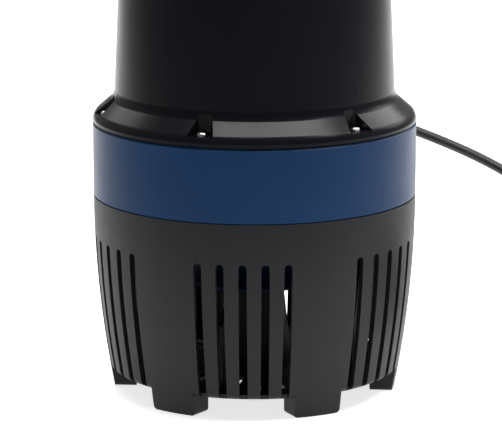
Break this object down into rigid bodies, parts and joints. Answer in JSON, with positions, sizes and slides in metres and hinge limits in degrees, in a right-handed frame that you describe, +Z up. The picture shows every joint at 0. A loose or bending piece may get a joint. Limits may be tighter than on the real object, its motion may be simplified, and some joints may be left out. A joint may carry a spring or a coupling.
{
  "type": "submersible fountain pump",
  "caption": "Vertical submersible fountain pump: slotted strainer base on feet, coloured diffuser ring, tapered shell with top hose outlet, and a mains cord.",
  "frame": {"origin": "on the floor under the pump's axis, in the plane of the feet", "axes": "+Z up along the pump's axis; -Y is the front, where a bay of slots faces; the cord leaves toward +Y"},
  "size_m": [0.5245, 0.389, 0.505],
  "materials": {
    "strainer": "moulded charcoal plastic, fine grain",
    "navy_inner": "moulded navy plastic",
    "navy_band": "moulded navy plastic, satin",
    "shell_black": "moulded black plastic, satin",
    "stainless": "bright stainless steel",
    "seal_rubber": "moulded rubber",
    "shaft_steel": "ground steel",
    "lamination": "stacked electrical steel",
    "cast_alloy": "cast aluminium",
    "impeller_plastic": "glass-filled black plastic",
    "ceramic": null,
    "carbon": "carbon and spring housing",
    "bearing_steel": "polished bearing steel",
    "can_steel": "deep drawn stainless steel",
    "copper": null,
    "capacitor_case": "moulded capacitor case",
    "terminal_plastic": "moulded terminal block",
    "gland_plastic": "black nylon",
    "cord_rubber": "black rubber sheath",
    "tie_plastic": "black nylon strap",
    "plug_rubber": "moulded black rubber",
    "pin_brass": "nickelled brass",
    "tail_plastic": "moulded black plastic",
    "slip_plastic": "natural acetal",
    "nut_plastic": "moulded black plastic"
  },
  "bodies": {
    "housing": {"strainer_base": "strainer", "strainer_screws": "stainless", "suction_cover": "navy_inner", "cover_screws": "stainless", "blue_ring": "navy_band", "outer_shell": "shell_black", "shell_screws": "stainless", "shell_oring": "seal_rubber", "seal_seat": "ceramic", "lip_seal": "seal_rubber", "lower_bearing_outer": "bearing_steel", "upper_bearing_outer": "bearing_steel", "bearing_bracket": "cast_alloy", "bracket_oring": "seal_rubber", "motor_can": "can_steel", "can_screws": "stainless", "stator_core": "lamination", "windings": "copper", "motor_cap": "cast_alloy", "cap_oring": "seal_rubber", "wave_washer": "shaft_steel", "cap_band": "stainless", "run_capacitor": "capacitor_case", "terminal_block": "terminal_plastic", "gland_body": "gland_plastic", "gland_grommet": "seal_rubber", "gland_nut": "gland_plastic", "strain_relief": "cord_rubber", "lead_inside": "cord_rubber", "cord_tube": "cord_rubber", "cord_coil": "cord_rubber", "cord_tie": "tie_plastic", "plug_body": "plug_rubber", "plug_pins": "pin_brass", "outlet_gasket": "seal_rubber", "hose_tail": "tail_plastic"},
    "rotor": {"rotor_shaft": "shaft_steel", "impeller_key": "shaft_steel", "rotor_core": "lamination", "rotor_end_ring_lower": "cast_alloy", "rotor_end_ring_upper": "cast_alloy", "impeller": "impeller_plastic", "impeller_washer": "stainless", "impeller_nut": "stainless", "seal_turning_half": "carbon", "lower_bearing_inner": "bearing_steel", "lower_bearing_balls": "bearing_steel", "upper_bearing_inner": "bearing_steel", "upper_bearing_balls": "bearing_steel", "bearing_clip": "shaft_steel"},
    "slip": {"slip_ring": "slip_plastic"},
    "nut": {"union_nut": "nut_plastic"}
  },
  "joints": [
    {"name": "rotor_spin", "type": "hinge", "parent": "housing", "child": "rotor", "pos_m": [0, 0, 0.2], "axis": [0, 0, 1], "continuous": true},
    {"name": "union_lift", "type": "slide", "parent": "housing", "child": "slip", "axis": [0, 0, 1], "range_m": [0, 0.012]},
    {"name": "union_turn", "type": "hinge", "parent": "slip", "child": "nut", "pos_m": [0, 0, 0.42], "axis": [0, 0, 1], "range_deg": [0, 1080]}
  ],
  "couplings": [
    {"joint": "union_lift", "follows": "union_turn", "m_per_rad": 0.00063662}
  ]
}
